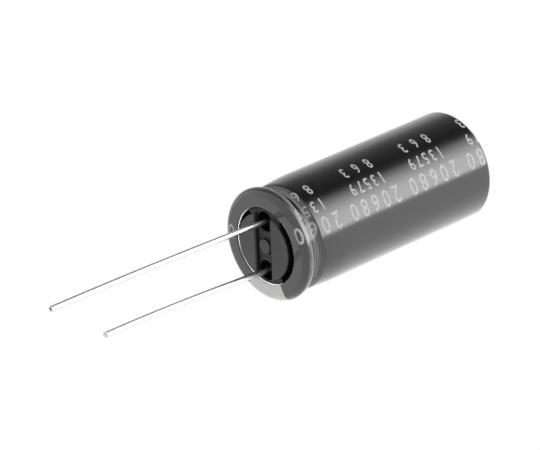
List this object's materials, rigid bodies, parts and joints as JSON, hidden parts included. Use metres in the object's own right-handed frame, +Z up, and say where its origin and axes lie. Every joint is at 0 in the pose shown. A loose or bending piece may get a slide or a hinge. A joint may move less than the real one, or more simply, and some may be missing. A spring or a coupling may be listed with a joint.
{
  "type": "electrolytic capacitor",
  "caption": "Radial aluminium electrolytic capacitor: a sleeved, beaded can on a rubber seal, with two unequal wire leads at one end.",
  "frame": {"origin": "on the seating plane, the faces of the seal's two lands, midway between the two leads", "axes": "+Z runs up the can away from the board; the leads point along -Z; +X is the side of the negative lead and of the pale stripe"},
  "size_m": [0.0166, 0.0166, 0.0762],
  "materials": {
    "sleeve_film": "glossy black shrink film",
    "can_aluminium": "drawn, satin",
    "seal_rubber": "moulded, matt",
    "tinned_wire": "bright tinned",
    "tab_aluminium": "plain",
    "etched_foil": "etched, matt",
    "plain_foil": "satin",
    "separator_paper": "soaked kraft paper",
    "tape_film": "thin film tape"
  },
  "bodies": {
    "root": {"sleeve": "sleeve_film", "can": "can_aluminium", "end_seal": "seal_rubber", "positive_lead": "tinned_wire", "negative_lead": "tinned_wire", "positive_tab": "tab_aluminium", "negative_tab": "tab_aluminium", "anode_foil": "etched_foil", "cathode_foil": "plain_foil", "separator_inner": "separator_paper", "separator_outer": "separator_paper", "fixing_tape": "tape_film"}
  },
  "joints": []
}
